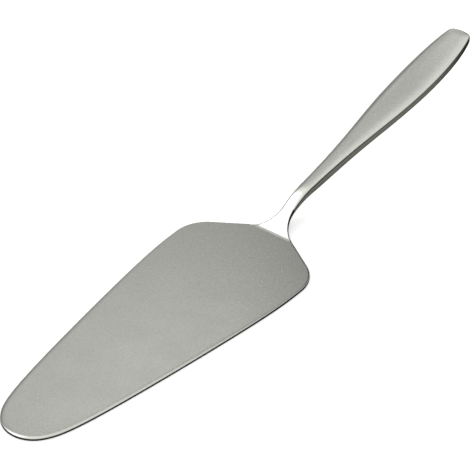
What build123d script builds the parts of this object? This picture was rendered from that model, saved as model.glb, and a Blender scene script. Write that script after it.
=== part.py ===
from build123d import *
import os
from math import acos, asin, atan2, cos, degrees, hypot, radians, sin, tan

from numpy import interp

# Pie server: a flat round-nosed blade, welded at a sharp crease to a solid handle.
#
# The server lies along X with its blade flat on the table. The tip points to -X, the handle
# climbs towards +X, and the origin is on the table under the middle of the overall length.
# Lengths are millimetres, angles are degrees.

# Blade, punched from sheet
blade_length = 139.2        # tip to the crease
blade_width = 56.9
blade_thickness = 1.2
tip_radius = 11.7
shoulder_radius = 16.8
shoulder_setback = 23.2     # crease back to the middle of the shoulder's arc
rim_radius = 0.35           # rounding of the top edges
edge_break = 0.25           # chamfer that takes the burr off the bottom edges

# Neck, where the blade runs into the handle
neck_radius = 10.7          # hollow round that sweeps the blade's heel into the neck
neck_overhang = 9.0         # crease forward to the middle of that round
neck_width = 5.0
weld_width = 1.0            # filler's width on the top face, along the steel

# Handle, forged solid
handle_length = 120.8       # crease to the end, measured flat
ramp_angle = 35.0           # climb straight after the crease
ramp_length = 7.9
bend_radius = 31.0          # where the ramp eases into the grip
grip_angle = 9.5            # climb of the grip's straight stretch
grip_straight = 64.0
lift_radius = 450.0         # gentle upward sweep to the end
grip_width = 15.0
grip_thickness = 3.25       # side edge at its thickest, just past the neck
end_width = 9.3             # across the end, before its corners are rounded
end_bow = 0.9               # how far the end bulges past its corners
end_taper = 14.6            # angle at which each side closes in at the end
end_corner_radius = 3.0

overrun = 1.0               # how far a cutting shape runs past what it cuts
seam_tolerance = 0.01       # an edge nearer than this to a seam lies on it
level_share = 0.7           # a face whose normal climbs or falls by more than this is a top or a bottom

# Control points that pull the blade's side into shape: place along the blade, half width.
# The nose's arc ends where it points at the first.
blade_side_shares = [(0.091, 0.542), (0.136, 0.578), (0.679, 0.975), (0.717, 1.000)]

# Where the grip is widest, and how far each curve beside that place keeps its end's direction
widest_share = 0.762
neck_swell_shares = (0.524, 0.369)
end_swell_shares = (0.491, 0.183)

# How far the thickness has grown from the blade's to the grip's: place up the spine, growth
growth_shares = [
    (0.05, 0.00),
    (0.10, 0.40),
    (0.16, 0.80),
    (0.23, 1.00),
    (0.45, 0.79),
    (0.62, 0.70),
    (1.00, 0.85),
]

# How high the top is crowned: place up the spine, rise of the middle over the half width
crown_shares = [(0.00, 0.005), (0.05, 0.010), (0.16, 0.090), (0.45, 0.075), (1.00, 0.065)]

# Control points of the crowned top: place across, fall from the crown's height. They make it
# fall with the fourth power of the distance, so it is nearly flat between its shoulders.
crown_fall_shares = [(1.0, 1.0), (0.5, -1.0), (0.0, 1.0), (-0.5, -1.0), (-1.0, 1.0)]

section_count = 22          # evenly spaced sections that shape the handle

overall_length = blade_length + handle_length
tip_x = -overall_length / 2
crease_x = tip_x + blade_length
end_x = overall_length / 2

# The weld bends with the crease: its top face is an arc tangent to blade and ramp
weld_top_radius = weld_width / radians(ramp_angle)
weld_reach = weld_top_radius * tan(radians(ramp_angle / 2))


def heading(angle):
    """Unit direction that turns from the server's length by an angle."""
    return Vector(cos(radians(angle)), sin(radians(angle)))


end_corner = Vector(end_x - end_bow, end_width / 2)

# Points of the side view where the weld's top face ends, at the blade and at the ramp
blade_end = Vector(crease_x - weld_reach, blade_thickness)
ramp_start = Vector(crease_x, blade_thickness) + heading(ramp_angle) * weld_reach

# Faces where the weld meets the blade, and where it meets the ramp
blade_seam = Plane((blade_end.X, 0, blade_end.Y), z_dir=(1, 0, 0))
handle_seam = Plane(
    (ramp_start.X, 0, ramp_start.Y), z_dir=(heading(ramp_angle).X, 0, heading(ramp_angle).Y)
)


def heel():
    """Straight heel of the blade, from the shoulder's arc to the neck's hollow round."""
    shoulder = Vector(crease_x - shoulder_setback, blade_width / 2 - shoulder_radius)
    hollow = Vector(crease_x + neck_overhang, neck_width / 2 + neck_radius)
    across = hollow - shoulder
    slant = asin((shoulder_radius + neck_radius) / hypot(across.X, across.Y))
    outward = heading(90 - degrees(slant - atan2(across.Y, across.X)))
    return Line(shoulder + outward * shoulder_radius, hollow - outward * neck_radius)


def nose_turn(cheek):
    """Angle that the nose's arc runs through before it points at the cheek."""
    out = cheek - Vector(tip_x + tip_radius, 0)
    return 180 - degrees(atan2(out.Y, out.X) + acos(tip_radius / out.length))


def swell(start, end, end_angle, shares):
    """Curve that leaves along the server and arrives at an angle, keeping each for a share."""
    stretch = end.X - start.X
    leave, arrive = (share * stretch for share in shares)
    return Bezier(start, start + heading(0) * leave, end - heading(end_angle) * arrive, end)


def half_outline():
    """The server's outline on its +Y side, seen from above, from the tip to the end."""
    pulls = [
        Vector(tip_x + along * blade_length, half * blade_width / 2)
        for along, half in blade_side_shares
    ]
    nose = CenterArc((tip_x + tip_radius, 0), tip_radius, 180, -nose_turn(pulls[0]))
    shoulder_top = Vector(crease_x - shoulder_setback, blade_width / 2)
    side = Bezier(nose @ 1, *pulls, shoulder_top)
    slope = heel()
    slant = degrees(atan2((slope % 0).Y, (slope % 0).X))
    shoulder = JernArc(shoulder_top, heading(0), shoulder_radius, slant)
    hollow = JernArc(slope @ 1, slope % 1, neck_radius, -slant)
    widest = Vector(crease_x + widest_share * handle_length, grip_width / 2)
    grip = swell(hollow @ 1, widest, 0, neck_swell_shares)
    taper = swell(widest, end_corner, -end_taper, end_swell_shares)
    return Curve() + [nose, side, shoulder, slope, hollow, grip, taper]


def half_width_at(x):
    """Half the server's width at a place along it."""
    crossing = Wire(half_outline().edges()).intersect(Line((x, 0), (x, blade_width)))
    return crossing[0].Y


def plan_prism():
    """The whole outline as a tall block, which each piece is trimmed to."""
    far_side = half_outline()
    end_arc = ThreePointArc(end_corner, (end_x, 0), (end_corner.X, -end_corner.Y))
    face = make_face(far_side.edges() + [end_arc] + mirror(far_side, Plane.XZ).edges())
    prism = extrude(face, overall_length, both=True)
    corners = prism.edges().filter_by(Axis.Z).group_by(Axis.X)[-1]
    return fillet(corners, end_corner_radius)


def side_block(profile):
    """A face drawn in the X-Z plane, made wider than the blade."""
    return extrude(Plane.XZ * profile, blade_width, both=True)


def rim(piece, way, seams):
    """Edges of the faces that look up (way 1) or down (way -1), apart from welded seams."""
    level = piece.faces().filter_by(lambda face: face.normal_at().Z * way > level_share)
    return [
        edge
        for edge in level.edges()
        if all(abs(seam.to_local_coords(edge @ 0.5).Z) > seam_tolerance for seam in seams)
    ]


def finished(piece, *seams):
    """The piece with its top edges rounded and the burr taken off its bottom edges."""
    rounded = fillet(rim(piece, 1, seams), rim_radius)
    return chamfer(rim(rounded, -1, seams), edge_break)


def blade():
    """Flat sheet blade, cut square across just before the crease."""
    reach = blade_end.X - tip_x + overrun
    profile = Pos(*blade_end) * Rectangle(reach, blade_thickness, align=(Align.MAX, Align.MAX))
    return finished(plan_prism() & side_block(profile), blade_seam)


def neck_weld():
    """Filler of the butt weld across the neck, ground flush, with the crease's bend in it."""
    centre = blade_end + Vector(0, weld_top_radius)
    inner = CenterArc(centre, weld_top_radius, -90, ramp_angle)
    outer = CenterArc(centre, weld_top_radius + blade_thickness, -90, ramp_angle)
    ends = [Line(inner @ 0, outer @ 0), Line(inner @ 1, outer @ 1)]
    filler = plan_prism() & side_block(make_face([inner, outer, *ends]))
    return finished(filler, blade_seam, handle_seam)


def spine():
    """Line of the handle's top edge, seen from the side, from the weld to past the end."""
    ramp_end = Vector(crease_x, blade_thickness) + heading(ramp_angle) * ramp_length
    ramp = Line(ramp_start, ramp_end)
    bend = JernArc(ramp_end, heading(ramp_angle), bend_radius, grip_angle - ramp_angle)
    grip = Line(bend @ 1, (bend @ 1) + heading(grip_angle) * grip_straight)
    rest = end_x + overrun - (grip @ 1).X
    end_angle = degrees(asin(sin(radians(grip_angle)) + rest / lift_radius))
    lift = JernArc(grip @ 1, grip % 1, lift_radius, end_angle - grip_angle)
    return Plane.XZ * Wire([ramp, bend, grip, lift])


def handle_section(line, place):
    """Section square to the spine: flat below, crowned above, wider than the outline."""
    origin = line @ place
    square = Plane(origin, x_dir=(0, 1, 0), z_dir=line % place)
    half = half_width_at(min(origin.X, end_corner.X))
    growth = interp(place, *zip(*growth_shares))
    thickness = blade_thickness + growth * (grip_thickness - blade_thickness)
    crown = half * interp(place, *zip(*crown_shares))
    wide = half + overrun
    fall = crown * (wide / half) ** (len(crown_fall_shares) - 1)
    top = Bezier(*[(wide * across, crown - fall * down) for across, down in crown_fall_shares])
    walls = Polyline(top @ 1, (-wide, -thickness), (wide, -thickness), top @ 0)
    return square * make_face([top, *walls.edges()])


def handle():
    """Solid forged handle: flat foot, rising neck and crowned grip."""
    line = spine()
    sections = [handle_section(line, step / (section_count - 1)) for step in range(section_count)]
    return finished(plan_prism() & loft(sections), handle_seam)


os.makedirs("parts", exist_ok=True)
for name, make in (("blade", blade), ("neck_weld", neck_weld), ("handle", handle)):
    solid = make()
    print(name, "volume", round(solid.volume, 1), "valid", solid.is_valid)
    export_step(solid, f"parts/{name}.step")
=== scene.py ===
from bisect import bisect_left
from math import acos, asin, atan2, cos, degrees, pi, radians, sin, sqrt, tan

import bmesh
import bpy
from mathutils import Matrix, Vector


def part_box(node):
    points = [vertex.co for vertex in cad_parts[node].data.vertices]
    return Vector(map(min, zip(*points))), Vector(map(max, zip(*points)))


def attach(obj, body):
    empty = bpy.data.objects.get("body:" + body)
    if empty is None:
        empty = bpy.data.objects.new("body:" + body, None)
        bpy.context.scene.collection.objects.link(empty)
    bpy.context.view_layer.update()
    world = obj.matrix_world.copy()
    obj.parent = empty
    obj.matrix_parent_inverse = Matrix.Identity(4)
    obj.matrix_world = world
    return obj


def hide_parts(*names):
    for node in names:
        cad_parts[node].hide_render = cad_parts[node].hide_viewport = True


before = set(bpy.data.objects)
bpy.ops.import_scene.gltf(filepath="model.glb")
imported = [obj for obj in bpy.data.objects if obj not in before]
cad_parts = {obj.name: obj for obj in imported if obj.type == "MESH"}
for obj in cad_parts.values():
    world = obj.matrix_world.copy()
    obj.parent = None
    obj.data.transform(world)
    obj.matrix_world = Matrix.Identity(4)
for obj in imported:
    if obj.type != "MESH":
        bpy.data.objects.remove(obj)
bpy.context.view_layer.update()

# %% [markdown]
# ## What this lesson builds
#
# The object is an all-steel pie server. A flat blade with a round nose meets a slim handle at a
# sharp crease. Everything on it is one stainless steel, so there is no colour to hide behind:
# the look comes from how each face turns, and from what it mirrors.
#
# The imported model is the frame. It gives each piece's box, and its meshes are left alone. They
# could be shown as they are, but they are made of loose flat triangles, which show in a mirror.
# So we model three new pieces over them, blade, handle and weld, whose faces share corners.

MM = 0.001                       # every length below is a number of millimetres times this

blade_low, blade_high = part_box("blade")
handle_low, handle_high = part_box("handle")
print("pieces in the frame:", len(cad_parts))
print("blade", [round(v / MM, 2) for v in blade_high - blade_low], "mm")
print("handle", [round(v / MM, 2) for v in handle_high - handle_low], "mm")

# %% [markdown]
# ## The sizes
#
# A maker would start from one drawing of the whole outline, and so do we. Every size could be
# typed in, but one that is read from the frame can't drift away from it. So the overall lengths
# and widths come from the frame, and two of them are moved by a fraction of a millimetre, to
# where the photograph has the edge. Radii and angles can't be read from a box, so they have
# names of their own.

# %% Lengths and widths
end_gain = 0.5 * MM              # the end reaches this much further than the frame's
side_trim = 0.15 * MM            # each side of the blade is this much narrower
seam_to_crease = 0.52 * MM       # the frame's blade stops this far before the drawn crease

tip_x = blade_low.x
end_x = handle_high.x + end_gain
half_blade = blade_high.y - side_trim
half_grip = handle_high.y
sheet = blade_high.z

crease_x = blade_high.x + seam_to_crease
blade_length = crease_x - tip_x
handle_length = end_x - crease_x
print("tip to crease", round(blade_length / MM, 1), "mm")
print("crease to end", round(handle_length / MM, 1), "mm")

# %% Radii, angles and shares of the outline
tip_radius = 11.7 * MM
shoulder_radius = 14.0 * MM
shoulder_setback = 21.5 * MM     # crease back to the middle of the shoulder's arc
neck_radius = 10.7 * MM          # hollow round that sweeps the blade's heel into the neck
neck_overhang = 8.5 * MM         # crease forward to the middle of that round
half_neck = 2.5 * MM
half_end = 4.8 * MM
end_bow = 0.9 * MM               # how far the end bulges past its corners
end_taper = radians(14.6)        # angle at which each side closes in at the end
end_corner_radius = 2.6 * MM

# Points that pull the blade's side into shape: place along the blade, half width
side_shares = [(0.091, 0.536), (0.136, 0.571), (0.679, 0.974), (0.720, 1.000)]

# Where the grip is widest, and how far each curve beside it keeps its end's direction
widest_share = 0.762
neck_swell_shares = (0.524, 0.369)
end_swell_shares = (0.491, 0.183)
print("widest", round(widest_share * handle_length / MM, 1), "mm past the crease")

# %% [markdown]
# ## The outline
#
# The blade's punch and the handle's die both follow this outline, so blade, weld and handle run
# into each other without a step. Seen from above it is symmetrical: we draw one side and mirror
# it. It could be traced as a long list of points, but a bump of a hair's width shows in a mirror.
# So round stretches are arcs, which bmesh makes with `spin` by turning the last vertex about a
# centre. Long stretches are Bezier curves, and the last vertex is extruded along them.

# %% Drawing with one moving vertex
def heading(angle):
    """Unit direction in plan, turned from the server's length."""
    return Vector((cos(angle), sin(angle), 0))


def bezier(controls, share):
    """Point on a Bezier curve, found by drawing lines between lines."""
    while len(controls) > 1:
        controls = [a.lerp(b, share) for a, b in zip(controls, controls[1:])]
    return controls[0]


def draw_curve(bm, pen, controls, step):
    """Extrudes the pen's vertex along a Bezier curve that starts at it."""
    length = sum((b - a).length for a, b in zip(controls, controls[1:]))
    count = max(2, round(length / step))
    for number in range(1, count + 1):
        pen = bmesh.ops.extrude_vert_indiv(bm, verts=[pen])["verts"][0]
        pen.co = bezier(controls, number / count)
    return pen


def draw_arc(bm, pen, centre, angle, step):
    """Spins the pen's vertex about a centre, clockwise for a negative angle."""
    count = max(2, round(abs(angle) * (pen.co - centre).length / step))
    spun = bmesh.ops.spin(
        bm, geom=[pen], cent=centre, axis=(0, 0, 1), angle=angle, steps=count, use_merge=False
    )
    return next(item for item in spun["geom_last"] if isinstance(item, bmesh.types.BMVert))


# %% The straight heel, the grip's curves and the end's corner
def straight_heel():
    """The heel's two ends, each with the centre of the arc beside it, and the heel's fall."""
    shoulder = Vector((crease_x - shoulder_setback, half_blade - shoulder_radius, 0))
    hollow = Vector((crease_x + neck_overhang, half_neck + neck_radius, 0))
    across = hollow - shoulder
    slant = asin((shoulder_radius + neck_radius) / across.length)
    fall = slant - atan2(across.y, across.x)
    outward = heading(pi / 2 - fall)
    return shoulder, shoulder + outward * shoulder_radius, hollow, hollow - outward * neck_radius, fall


def swell(start, end, end_angle, shares):
    """Controls of a curve that leaves level and arrives at an angle."""
    stretch = end.x - start.x
    return [
        start,
        start + heading(0) * (shares[0] * stretch),
        end - heading(end_angle) * (shares[1] * stretch),
        end,
    ]


def end_corner():
    """The rounded corner of the end: its two ends, its centre, and the centre of the bow."""
    corner = Vector((end_x - end_bow, half_end, 0))
    bow_radius = (half_end**2 + end_bow**2) / (2 * end_bow)
    bow_centre = Vector((end_x - bow_radius, 0, 0))
    side = heading(-end_taper)
    level = corner + heading(-end_taper - pi / 2) * end_corner_radius - bow_centre
    across = level.dot(side)
    back = sqrt(across**2 - level.length_squared + (bow_radius - end_corner_radius) ** 2) - across
    centre = bow_centre + level + side * back
    meet = bow_centre + (centre - bow_centre).normalized() * bow_radius
    return corner + side * back, meet, centre, bow_centre


corner_x = end_corner()[0].x
print("the heel falls", round(degrees(straight_heel()[4]), 1), "degrees from level")
print("the end's corner starts", round((end_x - corner_x) / MM, 1), "mm before the end")


# %% The outline of one side
def draw_side(bm, step, bow_steps):
    """Draws the +Y side from the tip to the middle of the bowed end."""
    nose_centre = Vector((tip_x + tip_radius, 0, 0))
    pulls = [Vector((tip_x + a * blade_length, h * half_blade, 0)) for a, h in side_shares]
    out = pulls[0] - nose_centre
    nose_turn = pi - atan2(out.y, out.x) - acos(tip_radius / out.length)
    pen = bm.verts.new((tip_x, 0, 0))
    pen = draw_arc(bm, pen, nose_centre, -nose_turn, step)
    shoulder_top = Vector((crease_x - shoulder_setback, half_blade, 0))
    pen = draw_curve(bm, pen, [pen.co.copy(), *pulls, shoulder_top], step)
    shoulder, heel_start, hollow, heel_end, fall = straight_heel()
    pen = draw_arc(bm, pen, shoulder, -fall, step)
    pen = draw_curve(bm, pen, [heel_start, heel_end], step)
    pen = draw_arc(bm, pen, hollow, fall, step / 2)
    widest = Vector((crease_x + widest_share * handle_length, half_grip, 0))
    leave, meet, centre, bow_centre = end_corner()
    pen = draw_curve(bm, pen, swell(pen.co.copy(), widest, 0, neck_swell_shares), step)
    pen = draw_curve(bm, pen, swell(widest, leave, -end_taper, end_swell_shares), step)
    turn = (leave - centre).angle(meet - centre)
    pen = draw_arc(bm, pen, centre, -turn, step / 2)
    bow = (meet - bow_centre).angle(Vector((1, 0, 0)))
    draw_arc(bm, pen, bow_centre, -bow, bow * (end_x - bow_centre.x) / bow_steps)


outline_step = 0.8 * MM
plan = bmesh.new()
draw_side(plan, outline_step, bow_steps=6)
outline = sorted((vert.co.x, vert.co.y) for vert in plan.verts)
plan.free()
print("outline drawn with", len(outline), "points on one side")

# %% [markdown]
# ## How wide the server is
#
# The crown of the handle depends on how wide the handle is at each place. The drawn outline
# already holds that width, so we look it up between the two nearest points.

# %% Half the width at a place
outline_x = [x for x, _ in outline]


def half_width(x):
    """Half the width at a place along the server, between the two nearest outline points."""
    after = min(max(bisect_left(outline_x, x), 1), len(outline) - 1)
    (x0, y0), (x1, y1) = outline[after - 1], outline[after]
    share = min(max((x - x0) / (x1 - x0), 0), 1)
    return y0 + (y1 - y0) * share


print("half width at the crease", round(half_width(crease_x) / MM, 2), "mm")

# %% [markdown]
# ## The side view
#
# Such a handle is forged flat and then bent in a press. Seen from the side it climbs from the
# crease in four stretches: a straight ramp, a bend, a straight grip and a long gentle lift to the
# end. A free curve could follow it too, but lines and arcs tangent to each other are nearer to
# what a press makes, and one short function then gives the height and slope at any place.

# %% Sizes of the side view
ramp_angle = radians(31.2)
ramp_length = 10.8 * MM
bend_radius = 31 * MM
grip_angle = radians(9.28)
grip_straight = 63.8 * MM
lift_radius = 450 * MM
fold_shift = 1.0 * MM            # the steel folds this far on the tip's side of the drawn crease
weld_radius = 4.5 * MM           # the weld's top is an arc, tangent to blade and ramp

fold_x = crease_x - fold_shift
weld_reach = weld_radius * tan(ramp_angle / 2)
weld_x = fold_x - weld_reach
ramp_start_x = fold_x + weld_reach * cos(ramp_angle)
print("the weld is", round((ramp_start_x - weld_x) / MM, 2), "mm long")

# %% Height and slope of the handle's top
ramp_end = Vector((fold_x, 0, sheet)) + Vector((cos(ramp_angle), 0, sin(ramp_angle))) * ramp_length
bend_centre = ramp_end + Vector((sin(ramp_angle), 0, -cos(ramp_angle))) * bend_radius
grip_start = bend_centre + Vector((-sin(grip_angle), 0, cos(grip_angle))) * bend_radius
lift_start = grip_start + Vector((cos(grip_angle), 0, sin(grip_angle))) * grip_straight
lift_centre = lift_start + Vector((-sin(grip_angle), 0, cos(grip_angle))) * lift_radius


def spine(x):
    """Height and slope angle of the middle line, and the distance run from the weld."""
    ramp_run = (min(x, ramp_end.x) - ramp_start_x) / cos(ramp_angle)
    if x <= ramp_end.x:
        return sheet + (x - fold_x) * tan(ramp_angle), ramp_angle, ramp_run
    if x <= grip_start.x:
        angle = asin((bend_centre.x - x) / bend_radius)
        height = bend_centre.z + bend_radius * cos(angle)
        return height, angle, ramp_run + bend_radius * (ramp_angle - angle)
    bend_run = ramp_run + bend_radius * (ramp_angle - grip_angle)
    if x <= lift_start.x:
        away = x - grip_start.x
        return grip_start.z + away * tan(grip_angle), grip_angle, bend_run + away / cos(grip_angle)
    angle = asin((x - lift_centre.x) / lift_radius)
    height = lift_centre.z - lift_radius * cos(angle)
    return height, angle, bend_run + grip_straight + lift_radius * (angle - grip_angle)


spine_length = spine(end_x)[2]
print("the middle line runs", round(spine_length / MM, 1), "mm")
print("and ends", round(spine(end_x)[0] / MM, 1), "mm over the table")

# %% [markdown]
# ## Thickness and crown
#
# The forging is thin where it meets the sheet, thickest just past the neck and thinner again at
# the end. Its top is crowned, so that it lies well in the hand. Both change along the handle. A
# table with a few places says how, and each value is a mean of five near it, which takes the
# corners out of the table. A corner there would draw a line across the shine.

# %% Tables of thickness and crown
grip_thickness = 3.25 * MM

# Place up the middle line, share of the way from the sheet's thickness to the grip's
growth_shares = [
    (0.05, 0.00),
    (0.10, 0.40),
    (0.16, 0.80),
    (0.23, 1.00),
    (0.45, 0.79),
    (0.62, 0.70),
    (0.92, 0.85),
    (1.00, 0.50),
]

# Place up the middle line, rise of the crown over the half width
crown_shares = [(0.00, 0.000), (0.05, 0.010), (0.16, 0.100), (0.45, 0.075), (1.00, 0.065)]

# The crown falls from the middle with this power of the distance: a higher one is flatter
neck_crown_power, end_crown_power = 2.6, 4
flat_crown_x = end_x - 25 * MM   # from here on the crown is at its flattest
smoothing_share = 0.02           # distance between the five values of a mean


def eased(share):
    """A share from 0 to 1, with a soft start and a soft stop."""
    share = min(max(share, 0), 1)
    return share * share * (3 - 2 * share)


def along(shares, place):
    """Value at a place from a table of places and values, as the mean of five near it."""
    steps = (-2, -1, 0, 1, 2)
    total = 0
    for step in steps:
        at = min(max(place + step * smoothing_share, shares[0][0]), shares[-1][0])
        after = next(number for number in range(1, len(shares)) if at <= shares[number][0])
        (p0, v0), (p1, v1) = shares[after - 1], shares[after]
        total += v0 + (v1 - v0) * (at - p0) / (p1 - p0)
    return total / len(steps)


print("edge", round(sheet / MM, 2), "mm thick at the weld, at most", round(grip_thickness / MM, 2))


# %% Thickness and crown at a place
def thickness(x):
    """Thickness of the handle's side at a place."""
    return sheet + (grip_thickness - sheet) * along(growth_shares, spine(x)[2] / spine_length)


def crown(x, y):
    """How far the crowned top stands over the middle line of the handle's edge."""
    half = half_width(min(x, corner_x))
    rise = half * along(crown_shares, spine(x)[2] / spine_length)
    flatter = eased((x - grip_start.x) / (flat_crown_x - grip_start.x))
    power = neck_crown_power + (end_crown_power - neck_crown_power) * flatter
    return rise * (1 - abs(y / half) ** power)


print("thickness at the grip's start", round(thickness(grip_start.x) / MM, 2), "mm")
print("crown at the grip's start", round(crown(grip_start.x, 0) / MM, 2), "mm")

# %% [markdown]
# ## Small tools for the mesh work
#
# A finished mesh becomes an object once its faces point outwards and look smooth. Where two
# pieces are welded they share a cut face. Its edges are marked sharp, so that the shine of the
# top face isn't pulled round the corner.

# %% From a mesh to a piece
same_place = 0.001 * MM          # vertices nearer than this are one
seam_tolerance = 0.02 * MM       # a face nearer than this to a seam lies on it
seam_lean = 0.99                 # and its normal points along the seam's by at least this


def on_seam(point, normal, seams):
    """Whether a face lies on one of the seams, each given as a point and a direction."""
    return any(
        abs((point - place).dot(way)) < seam_tolerance and abs(normal.dot(way)) > seam_lean
        for place, way in seams
    )


def closed(mesh):
    """Whether every edge of a mesh has two faces."""
    counts = {}
    for polygon in mesh.polygons:
        for key in polygon.edge_keys:
            counts[key] = counts.get(key, 0) + 1
    return all(count == 2 for count in counts.values())


def piece_from(bm, name, seams):
    """Makes a smooth object of a mesh, with sharp edges round the faces on welded seams."""
    bmesh.ops.remove_doubles(bm, verts=bm.verts, dist=same_place)
    bmesh.ops.recalc_face_normals(bm, faces=bm.faces)
    bm.normal_update()
    for face in bm.faces:
        face.smooth = True
        if on_seam(face.calc_center_median(), face.normal, seams):
            for edge in face.edges:
                edge.smooth = False
    mesh = bpy.data.meshes.new(name)
    bm.to_mesh(mesh)
    bm.free()
    piece = bpy.data.objects.new(name, mesh)
    bpy.context.scene.collection.objects.link(piece)
    print(name, len(mesh.polygons), "faces, closed:", closed(mesh))
    return piece


# %% [markdown]
# ## The blade
#
# The real blade is a flat sheet punched to shape. Its rim is then pressed down a little over the
# last 2 mm, mostly on the side that cuts the pie, and this roll has faded out at the shoulder.
#
# A grid of small faces could bend like that, but a mirror shows every flaw of a grid. We fill
# the outline with one face instead, inset it ring by ring, and lower each ring a little less
# than the one outside it. What is left inside stays one big flat face, with no bend in its shine.

# %% The pressed rim
roll_width = 1.7 * MM
roll_drop = 0.21 * MM
roll_far_share = 0.3             # how much of the roll is left on the far side
roll_turn_y = -4 * MM            # the roll starts to lessen here, on its way across the blade
roll_turn_width = 12 * MM        # and has done so after this
roll_fade_shares = (0.42, 0.88)  # places along the blade where it starts to fade, and is gone
roll_full_x, roll_gone_x = (tip_x + share * blade_length for share in roll_fade_shares)


def roll(x, y, distance):
    """How far the top lies under the flat face, at a distance in from the rim."""
    fade = eased((roll_gone_x - x) / (roll_gone_x - roll_full_x))
    side = 1 - (1 - roll_far_share) * eased((y - roll_turn_y) / roll_turn_width)
    return roll_drop * fade * side * max(1 - distance / roll_width, 0) ** 2


print("near rim", round(roll(tip_x, -half_blade, 0) / MM, 2), "mm down")
print("far rim", round(roll(tip_x, half_blade, 0) / MM, 2), "mm down")

# %% The outline of one piece as a closed loop
past = 1.5 * MM                  # the true outline runs on this far past a seam
spare = 6 * MM                   # and then straight for this far
merge_gap = 0.01 * MM            # the mirrored halves join where they are nearer than this


def trim(bm, start_x, stop_x):
    """Keeps what lies between two places along the server."""
    for place, way in ((start_x, -1), (stop_x, 1)):
        bmesh.ops.bisect_plane(
            bm,
            geom=bm.verts[:] + bm.edges[:],
            plane_co=(place, 0, 0),
            plane_no=(way, 0, 0),
            clear_outer=True,
        )


def plan_loop(start_x, stop_x, step, columns):
    """The outline between two places, closed with straight spare lengths past them."""
    bm = bmesh.new()
    draw_side(bm, step, columns // 2)
    trim(bm, start_x, stop_x)
    bmesh.ops.mirror(bm, geom=bm.verts[:] + bm.edges[:], axis="Y", merge_dist=merge_gap)
    ends = [vert for vert in bm.verts if len(vert.link_edges) == 1]
    ends = bmesh.ops.extrude_vert_indiv(bm, verts=ends)["verts"]
    for vert in ends:
        vert.co.x += spare if vert.co.x > (start_x + stop_x) / 2 else -spare
    ends.sort(key=lambda vert: vert.co.x)
    rows = [bm.edges.new(pair) for pair in (ends[:2], ends[2:]) if pair]
    bmesh.ops.subdivide_edges(bm, edges=rows, cuts=columns - 1)
    return bm


# %% Rounding an edge and cutting at a seam
def rounded(bm, edges, size, segments):
    """Rounds edges to a radius."""
    bmesh.ops.bevel(
        bm,
        geom=list(edges),
        offset=size,
        offset_type="OFFSET",
        affect="EDGES",
        segments=segments,
        profile=0.5,
        material=-1,
        clamp_overlap=False,
        loop_slide=True,
    )


def cut_at(bm, place, way):
    """Cuts off what lies past a seam, and closes the cut with one flat face."""
    bmesh.ops.bisect_plane(
        bm, geom=bm.verts[:] + bm.edges[:] + bm.faces[:], plane_co=place, plane_no=way, clear_outer=True
    )
    rim = [edge for edge in bm.edges if edge.is_boundary]
    bmesh.ops.contextual_create(bm, geom=rim)


# %% Build the blade
ring_step = 0.4 * MM             # width of one ring, the outermost is twice as wide
blade_rim_radius = 0.3 * MM
sheet_edge_break = 0.35 * MM     # rounding that takes the burr off the bottom edge
rim_segments = 5
edge_segments = 3
blade_seam = (Vector((weld_x, 0, 0)), Vector((1, 0, 0)))


def build_blade():
    """The blade, from its outline inwards to the flat face and then down to the underside."""
    bm = plan_loop(tip_x - MM, weld_x + past, outline_step, columns=2)
    top = bmesh.ops.contextual_create(bm, geom=bm.edges[:])["faces"]
    for vert in bm.verts:
        vert.co.z = sheet - roll(vert.co.x, vert.co.y, 0)
    distance = 0
    while distance < roll_width + ring_step / 2:
        width = ring_step if distance else 2 * ring_step
        distance += width
        bmesh.ops.inset_region(bm, faces=top, thickness=width, use_even_offset=True, use_boundary=True)
        for vert in top[0].verts:
            vert.co.z = sheet - roll(vert.co.x, vert.co.y, distance)
    rim = [edge for edge in bm.edges if edge.is_boundary]
    walls = bmesh.ops.extrude_edge_only(bm, edges=rim)["geom"]
    for vert in (item for item in walls if isinstance(item, bmesh.types.BMVert)):
        vert.co.z = 0
    low_rim = [edge for edge in bm.edges if edge.is_boundary]
    underside = bmesh.ops.contextual_create(bm, geom=low_rim)["faces"]
    margin = 1.5 * sheet_edge_break
    bmesh.ops.inset_region(bm, faces=underside, thickness=margin, use_even_offset=True)
    rounded(bm, rim, blade_rim_radius, rim_segments)
    rounded(bm, low_rim, sheet_edge_break, edge_segments)
    cut_at(bm, *blade_seam)
    return piece_from(bm, "Blade", [blade_seam])


blade = build_blade()

# %% [markdown]
# ## The handle
#
# The handle is a forging: thicker than the blade, crowned on top and flat below. It could be
# lofted from sections square to it, but their corners would step along the rim, because its
# outline never runs straight. A grid that bends with the outline has no such steps. We inset the
# outline by one ring, which keeps the rim even round the corners, and fill the inside with
# `grid_fill`, which spreads rows between the two sides and columns between the two ends. Then
# each point is lifted to the height and crown of its place, and a copy makes the underside.

# %% Rows for the grid
def nearest(verts, x):
    """The vertex on the middle line that lies nearest to a place along the server."""
    return min(verts, key=lambda vert: abs(vert.co.x - x) + abs(vert.co.y))


def end_row(loop, x, columns):
    """Edges of a loop that lie within half a row of its middle, at one end."""
    verts = {nearest({vert for edge in loop for vert in edge.verts}, x)}
    for _ in range(columns // 2):
        verts |= {edge.other_vert(vert) for vert in verts for edge in vert.link_edges if edge in loop}
    return [edge for edge in loop if all(vert in verts for vert in edge.verts)]


# %% From a flat sheet to a body
def thicken(bm, top, underside):
    """Copies a sheet downwards, lifts both to their heights, and gives the lower rim's edges."""
    below = bmesh.ops.extrude_face_region(bm, geom=bm.faces[:], use_keep_orig=True)["geom"]
    low_verts = {item for item in below if isinstance(item, bmesh.types.BMVert)}
    low_faces = {item for item in below if isinstance(item, bmesh.types.BMFace)}
    for vert in bm.verts:
        vert.co.z = underside(vert.co.x) if vert in low_verts else top(vert.co.x, vert.co.y)
    low_edges = [edge for edge in bm.edges if low_verts.issuperset(edge.verts)]
    return [edge for edge in low_edges if any(face not in low_faces for face in edge.link_faces)]


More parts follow.
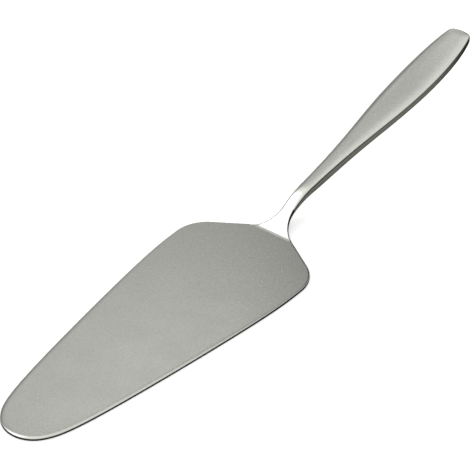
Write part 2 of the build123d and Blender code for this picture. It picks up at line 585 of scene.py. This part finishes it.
# %% Heights of the handle's two faces
end_fall = 0.3 * MM              # how far the top falls away at the end
end_fall_length = 3.5 * MM


def handle_top(x, y):
    """Height of the crowned top, which falls away over the last few millimetres."""
    end_share = max(1 - (end_x - x) / end_fall_length, 0)
    return spine(x)[0] + crown(x, y) - end_fall * end_share**2


def handle_underside(x):
    """Height of the underside, which lies a thickness below the top, square to its slope."""
    # The point of the top that stands square over x is found by closing in on it
    above = x
    for _ in range(4):
        above = x - thickness(above) * sin(spine(above)[1])
    height, angle, _ = spine(above)
    return height - thickness(above) * cos(angle)


print("underside at the end", round(handle_underside(end_x) / MM, 1), "mm over the table")

# %% Build the handle
ring_width = 0.8 * MM
neck_rim_radius = 0.6 * MM
handle_edge_break = 0.5 * MM     # with the rim's radius, less than the sheet at the seam
handle_seam = (
    Vector((ramp_start_x, 0, spine(ramp_start_x)[0])),
    Vector((-cos(ramp_angle), 0, -sin(ramp_angle))),
)


def build_handle(step, columns):
    """The handle, from a flat grid to a body, cut square to the ramp at the weld."""
    start_x, stop_x = ramp_start_x - past, end_x + MM
    bm = plan_loop(start_x, stop_x, step, columns)
    face = bmesh.ops.contextual_create(bm, geom=bm.edges[:])["faces"]
    bmesh.ops.inset_region(bm, faces=face, thickness=ring_width, use_even_offset=True, use_boundary=True)
    loop = face[0].edges[:]
    bmesh.ops.delete(bm, geom=face, context="FACES_ONLY")
    rows = end_row(loop, start_x, columns) + end_row(loop, stop_x, columns)
    bmesh.ops.grid_fill(bm, edges=rows)
    rim = [edge for edge in bm.edges if edge.is_boundary]
    low_rim = thicken(bm, handle_top, handle_underside)
    rounded(bm, rim, neck_rim_radius, rim_segments)
    rounded(bm, low_rim, handle_edge_break, edge_segments)
    cut_at(bm, *handle_seam)
    return piece_from(bm, "Handle", [handle_seam])


handle = build_handle(step=1.2 * MM, columns=20)

# %% [markdown]
# ## The weld
#
# The two pieces of steel meet in a butt weld, ground flush. It carries the crease: its top is an
# arc, which turns from the blade into the ramp. A ground weld has no bead, so it needs no shape
# of its own beside the outline's. It could be filled like the handle, but it is so short that we
# extrude one side straight across to the other, which makes a clean ladder of faces.

# %% Height of the bend
weld_centre_z = sheet + weld_radius


def bend_height(x, radius):
    """Height of an arc about the weld's centre, which runs on straight at the ramp's slope."""
    along_arc = min(max(x - weld_x, 0), radius * sin(ramp_angle))
    beyond = max(x - weld_x - along_arc, 0)
    return weld_centre_z - sqrt(radius**2 - along_arc**2) + beyond * tan(ramp_angle)


def weld_top(x, y):
    """Height of the weld's top, level from side to side."""
    return bend_height(x, weld_radius)


def weld_underside(x):
    """Height of the weld's underside, on an arc about the same centre."""
    return bend_height(x, weld_radius + sheet)


print("the bend climbs", round((weld_top(ramp_start_x, 0) - sheet) / MM, 2), "mm")


# %% Build the weld
def build_weld(step, columns):
    """The weld, as a ladder between the two sides, cut where it meets blade and handle."""
    bm = bmesh.new()
    draw_side(bm, step, bow_steps=2)
    trim(bm, weld_x - past, ramp_start_x + sheet + past)
    across = bmesh.ops.extrude_edge_only(bm, edges=bm.edges[:])["geom"]
    for vert in (item for item in across if isinstance(item, bmesh.types.BMVert)):
        vert.co.y = -vert.co.y
    rungs = [edge for edge in bm.edges if edge.verts[0].co.y * edge.verts[1].co.y < 0]
    rim = [edge for edge in bm.edges if edge not in rungs]
    bmesh.ops.subdivide_edges(bm, edges=rungs, cuts=columns - 1, use_grid_fill=True)
    low_rim = thicken(bm, weld_top, weld_underside)
    rounded(bm, rim, neck_rim_radius, rim_segments)
    rounded(bm, low_rim, sheet_edge_break, edge_segments)
    seams = [(blade_seam[0], -blade_seam[1]), (handle_seam[0], -handle_seam[1])]
    for seam in seams:
        cut_at(bm, *seam)
    return piece_from(bm, "Weld", seams)


weld = build_weld(step=0.2 * MM, columns=8)

# %% [markdown]
# ## Stainless steel
#
# The server is stainless steel, brushed and then tumbled to an even satin. Real satin is a field
# of scratches too fine to see, so at arm's length it reads as a soft, slightly grainy mirror.
# A metal has no colour of its own but its reflection, so the base colour is the share of each
# colour that steel gives back, and roughness sets how far the mirror blurs. The scratches could
# be drawn one by one, but tumbling leaves them in every direction, so an even noise is truer.

# %% Colour and nodes
def linear(code):
    """Linear colour of an sRGB hex code."""
    channels = [int(code[at : at + 2], 16) / 255 for at in (1, 3, 5)]
    return [c / 12.92 if c <= 0.04045 else ((c + 0.055) / 1.055) ** 2.4 for c in channels] + [1]


def add(tree, kind, inputs=None, **settings):
    """Adds a node. An input is a value, or the output of another node that is linked to it."""
    made = tree.nodes.new(kind)
    for name, value in settings.items():
        setattr(made, name, value)
    for name, value in (inputs or {}).items():
        if isinstance(value, bpy.types.NodeSocket):
            tree.links.new(value, made.inputs[name])
        else:
            made.inputs[name].default_value = value
    return made


print("a mid grey of #808080 is", round(linear("#808080")[0], 3), "in linear light")

# %% Bare steel
# The real grain is about 0.05 mm, too fine for a picture this size, so it is drawn at 0.7 mm.
# The clouds are the slow changes that a tumbler leaves, a finger's width across.
grain_size = 0.7 * MM
cloud_size = 14 * MM
cloud_strength = 0.08            # how much the clouds change the roughness
noise_low, noise_high = 0.3, 0.7


def steel(name, colours, roughness, relief, grazing=1, tones=((0, 1),)):
    """Bare steel with a fine grain.

    Grazing is how much of the flare at low angles is left, and tones give the steel's lightness
    at places along the server, which paints shade along it.
    """
    material = bpy.data.materials.new(name)
    material.use_nodes = True
    tree = material.node_tree
    shader = tree.nodes["Principled BSDF"]
    shader.inputs["Metallic"].default_value = 1
    shader.inputs["Specular Tint"].default_value = (grazing, grazing, grazing, 1)
    place = add(tree, "ShaderNodeTexCoord").outputs["Object"]
    clouds = add(tree, "ShaderNodeTexNoise", {"Vector": place, "Scale": 1 / cloud_size, "Detail": 3})
    grain = add(tree, "ShaderNodeTexNoise", {"Vector": place, "Scale": 1 / grain_size, "Detail": 2})
    tint = add(tree, "ShaderNodeValToRGB", {"Fac": grain.outputs["Fac"]})
    for stop, position, colour in zip(tint.color_ramp.elements, (noise_low, noise_high), colours):
        stop.position = position
        stop.color = linear(colour)
    cloudy = {
        "Value": clouds.outputs["Fac"],
        "From Min": noise_low,
        "From Max": noise_high,
        "To Min": roughness * (1 - cloud_strength),
        "To Max": roughness * (1 + cloud_strength),
    }
    rough = add(tree, "ShaderNodeMapRange", cloudy)
    raised = {"Height": grain.outputs["Fac"], "Strength": 1, "Distance": relief}
    bump = add(tree, "ShaderNodeBump", raised)
    x = add(tree, "ShaderNodeSeparateXYZ", {0: place}).outputs["X"]
    colour = tint.outputs["Color"]
    for (x0, tone0), (x1, tone1) in zip(tones, tones[1:]):
        fade = {"Value": x, "From Min": x0, "From Max": x1, "To Min": 1, "To Max": tone1 / tone0}
        share = add(tree, "ShaderNodeMapRange", fade).outputs["Result"]
        toned = add(tree, "ShaderNodeVectorMath", {0: colour, "Scale": share}, operation="SCALE")
        colour = toned.outputs["Vector"]
    tree.links.new(colour, shader.inputs["Base Color"])
    tree.links.new(rough.outputs["Result"], shader.inputs["Roughness"])
    tree.links.new(bump.outputs["Normal"], shader.inputs["Normal"])
    print(name, "has", len(tree.nodes), "nodes")
    return material


# %% [markdown]
# ## Four finishes, three of them with painted shade
#
# The faces, the sheared edges, the ground edges and the rim are one steel. The edges are duller
# than the faces, and their darker colours are painted shade. One finish all over would be simpler.
# It would also lose the thin dark lines that draw the server's shape against a white table, because
# smooth metal seen at a grazing angle flares up. So the edges are painted darker and made rougher, and
# Specular Tint holds the flare down.
#
# The handle's edge is painted darker over its last 30 mm, as painted shade. Its rim is painted dark
# at the neck and lighter along the grip, as painted shade too.

# %% The finishes, with painted shade on the edges
end_painted_shade_tones = [(end_x - 34 * MM, 1), (end_x - 18 * MM, 0.75), (end_x - 6 * MM, 0.35)]
rim_painted_shade_tones = [(grip_start.x, 1), (grip_start.x + 55 * MM, 6)] + [(x, 6 * tone) for x, tone in end_painted_shade_tones]

# Tumbled satin: a soft mirror with a slight grain
satin = steel("SatinStainlessSteel", ("#C6C7C0", "#D0D1CA"), 0.20, 0.007 * MM)

# Edge as the punch left it, torn and dull; its near-black colour is painted shade, a dark line round the
# blade and the neck
sheared_edge_painted_shade = steel("ShearedEdgePaintedShadeStainlessSteel", ("#22221F", "#2C2C28"), 0.42, 0.01 * MM, grazing=0.2)

# Edge of the forging as the wheel left it; its mid grey is painted shade, and it is painted darker
# towards the end
ground_edge_painted_shade = steel(
    "GroundEdgePaintedShadeStainlessSteel", ("#66665F", "#727269"), 0.36, 0.01 * MM, grazing=0.3, tones=end_painted_shade_tones
)

# Rim between the ground edge and the satin top: painted shade, dark at the neck, lighter along the grip
# and darker again at the end
rim_painted_shade = steel(
    "RimPaintedShadeStainlessSteel", ("#22221F", "#2C2C28"), 0.40, 0.01 * MM, grazing=0.25, tones=rim_painted_shade_tones
)

# %% [markdown]
# ## Which face has which finish and painted shade
#
# A finish could be painted by hand, but the way a face leans already says whether it is a top, a
# rim or an edge. A normal that climbs by 1 looks straight up and one that climbs by 0 belongs to a
# wall. On the neck and the weld the painted dark edge reaches a little further up the sides than on the
# blade, as painted shade.

# %% Give each face its finish and painted shade
finishes_and_painted_shades = [satin, ground_edge_painted_shade, sheared_edge_painted_shade, rim_painted_shade]
wall_climb = (-0.15, 0.3)
rim_climb = (0.3, 0.75)
edge_climb = (-0.95, 0.5)
neck_side_lean = 0.3


def finish_and_painted_shade_of(piece, face):
    """Material of a face, satin or a painted-shade edge, from its place and how its normal climbs and
    leans.
    """
    climb, lean = face.normal.z, abs(face.normal.y)
    on_grip = face.center.x > ramp_end.x
    if on_grip and rim_climb[0] < climb < rim_climb[1]:
        return rim_painted_shade
    if on_grip and wall_climb[0] < climb < wall_climb[1]:
        return ground_edge_painted_shade
    on_neck = piece is not blade and not on_grip
    # Walls, the lower rounding and the neck's sides take the near-black edge, which is painted shade
    if edge_climb[0] < climb < edge_climb[1] or on_neck and lean > neck_side_lean:
        return sheared_edge_painted_shade
    return satin


for piece in (blade, weld, handle):
    for surface_material in finishes_and_painted_shades:
        piece.data.materials.append(surface_material)
    for face in piece.data.polygons:
        face.material_index = finishes_and_painted_shades.index(finish_and_painted_shade_of(piece, face))
    satin_count = sum(face.material_index == 0 for face in piece.data.polygons)
    print(piece.name, "has", satin_count, "satin faces of", len(piece.data.polygons))

# %% [markdown]
# ## Floor
#
# The server lies on plain paper, and the photograph shows it pure white. A brighter lamp could
# whiten it, but would wash out the steel too. So the paper glows a little wherever the camera
# sees it or the steel mirrors it, and nowhere else. Its diffuse part takes the object's shadow.

# %% Floor
floor_reach = 3                  # metres from the middle to each side
floor_glow = 0.48

floor_mesh = bpy.data.meshes.new("Floor")
floor_bm = bmesh.new()
bmesh.ops.create_grid(floor_bm, x_segments=1, y_segments=1, size=floor_reach)
floor_bm.to_mesh(floor_mesh)
floor_bm.free()
floor = bpy.data.objects.new("Floor", floor_mesh)
bpy.context.scene.collection.objects.link(floor)
print("floor", [round(v, 1) for v in floor.dimensions], "m")

# %% Paper
# Matt paper scatters light evenly, so it has no gloss at all
paper = bpy.data.materials.new("MattWhitePaper")
paper.use_nodes = True
paper_tree = paper.node_tree
paper_shader = paper_tree.nodes["Principled BSDF"]
paper_shader.inputs["Base Color"].default_value = linear("#ECECEC")
paper_shader.inputs["Roughness"].default_value = 0.9
paper_shader.inputs["Specular IOR Level"].default_value = 0
paper_shader.inputs["Emission Color"].default_value = (1, 1, 1, 1)
rays = add(paper_tree, "ShaderNodeLightPath").outputs
seen = rays["Is Camera Ray"]
for kind in ("Is Glossy Ray", "Is Transmission Ray"):
    seen = add(paper_tree, "ShaderNodeMath", {0: seen, 1: rays[kind]}, operation="MAXIMUM").outputs[0]
glow = add(paper_tree, "ShaderNodeMath", {0: seen, 1: floor_glow}, operation="MULTIPLY").outputs[0]
paper_tree.links.new(glow, paper_shader.inputs["Emission Strength"])
floor_mesh.materials.append(paper)
print("paper glows by", floor_glow)

# %% [markdown]
# ## Light
#
# Satin steel shows the room it stands in. A few lamps in an empty room would leave it black
# between them, so the sky is a soft studio in bands, bright overhead and darker near 35 and 45
# degrees. The flat blade mirrors a narrow strip of it, from 36 degrees at the heel to 41 at the
# tip, and so the light fades along it. The handle's crown turns up to the bright part, which
# draws the shining line along it.

# %% Bands of the sky
world = bpy.data.worlds.new("Studio")
bpy.context.scene.world = world
world.use_nodes = True
sky_tree = world.node_tree
ray = add(sky_tree, "ShaderNodeTexCoord").outputs["Generated"]
height = add(sky_tree, "ShaderNodeSeparateXYZ", {0: ray}).outputs["Z"]
sky = add(sky_tree, "ShaderNodeValToRGB", {"Fac": height})

# Degrees over the horizon, brightness
sky_levels = [
    (0, 0.45),
    (18, 0.70),
    (32, 0.50),
    (35.4, 0.17),
    (37, 0.59),
    (41, 1.00),
    (43, 0.90),
    (45, 0.42),
    (51, 0.76),
    (58, 1.15),
    (90, 1.00),
]
stops = sky.color_ramp.elements
for elevation, _ in sky_levels[1:-1]:
    stops.new(sin(radians(elevation)))
for stop, (elevation, level) in zip(stops, sky_levels):
    stop.color = (level, level, level, 1)
sky_background = sky_tree.nodes["Background"].inputs
sky_tree.links.new(sky.outputs["Color"], sky_background["Color"])
print("sky is set at", len(stops), "heights")

# %% [markdown]
# ## Patches in the sky
#
# A real studio has screens and flags that a band can't show, because each hides or lights one
# part of the object. They could be planes that hang in the scene, but then other views would
# see them. Round patches of the sky do the same work: each multiplies its light.


# %% Patches
def direction(azimuth, elevation):
    """Unit direction from the server, by its angles in degrees."""
    turn, rise = radians(azimuth), radians(elevation)
    return Vector((cos(turn) * cos(rise), sin(turn) * cos(rise), sin(rise)))


def patch(azimuth, elevation, inner, outer, share):
    """What a round patch multiplies the sky's light by, from its share inside to 1 outside."""
    middle = direction(azimuth, elevation)
    towards = add(sky_tree, "ShaderNodeVectorMath", {0: ray, 1: middle}, operation="DOT_PRODUCT")
    soft_edge = {
        "Value": towards.outputs["Value"],
        "From Min": cos(radians(outer)),
        "From Max": cos(radians(inner)),
        "To Min": 1,
        "To Max": share,
    }
    return add(sky_tree, "ShaderNodeMapRange", soft_edge).outputs["Result"]


# Azimuth and elevation, radius of the inside and of the soft edge, all in degrees, then the share
patches = [
    (21.5, 34, 9, 13.5, 0.0),    # a black flag that greys the near shoulder
    (66, 36, 9, 15, 0.3),        # a grey flag for the handle's far side
    (39.6, 38.6, 0.5, 4, 1.28),  # a faint lift on the blade's middle
    (88, 60, 8, 25, 1.3),        # a broad lift on the bend
]
strength = 1
for place in patches:
    both = {0: patch(*place), 1: strength}
    strength = add(sky_tree, "ShaderNodeMath", both, operation="MULTIPLY").outputs[0]
sky_tree.links.new(strength, sky_background["Strength"])
print("sky has", len(patches), "patches")

# %% [markdown]
# ## Softbox
#
# The ramp behind the crease leans back, and mirrors the sky high up on the camera's left. The
# photograph must have a lamp there, because the neck is pure white. One softbox in that place is
# just bright enough for white. Any more would spill over the thin dark lines along the neck.


# %% Softbox
def softbox(name, azimuth, elevation, distance, width, height, radiance):
    """Area light that faces the server, as bright as its radiance says."""
    light = bpy.data.lights.new(name, "AREA")
    light.shape = "RECTANGLE"
    light.size = width
    light.size_y = height
    light.energy = radiance * pi * width * height
    lamp = bpy.data.objects.new(name, light)
    bpy.context.scene.collection.objects.link(lamp)
    lamp.location = direction(azimuth, elevation) * distance
    lamp.rotation_euler = (-lamp.location).to_track_quat("-Z", "Y").to_euler()
    print(name, "gives", round(light.energy, 2), "W")


softbox(
    "SideSoftbox", azimuth=100, elevation=58, distance=1.2, width=0.70, height=0.30, radiance=1.65
)

# %% [markdown]
# ## Camera
#
# The photograph looks down at the server from 36 degrees, across its length. A near camera would
# make the tip look large, so the lens is long and the camera stands well back.

# %% Camera
camera_data = bpy.data.cameras.new("Camera")
camera_data.lens = 153.2
camera_data.sensor_width = 36
camera = bpy.data.objects.new("Camera", camera_data)
bpy.context.scene.collection.objects.link(camera)
eye = Vector((-461.4, -350.6, 430.3)) * MM
target = Vector((-1.7, 9.8, 1.2)) * MM
camera.location = eye
camera.rotation_euler = (target - eye).to_track_quat("-Z", "Y").to_euler()
bpy.context.scene.camera = camera
bpy.context.scene.view_settings.view_transform = "Standard"
print("camera stands", round((eye - target).length / MM), "mm away")

# %% [markdown]
# ## Hand over
#
# Nothing on a pie server moves, so all three pieces ride on the one body. Each stands in for the
# imported node that it was modelled over, which is hidden.

# %% Ride and replace
for piece, node in ((blade, "blade"), (weld, "neck_weld"), (handle, "handle")):
    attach(piece, "root")
    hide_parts(node)
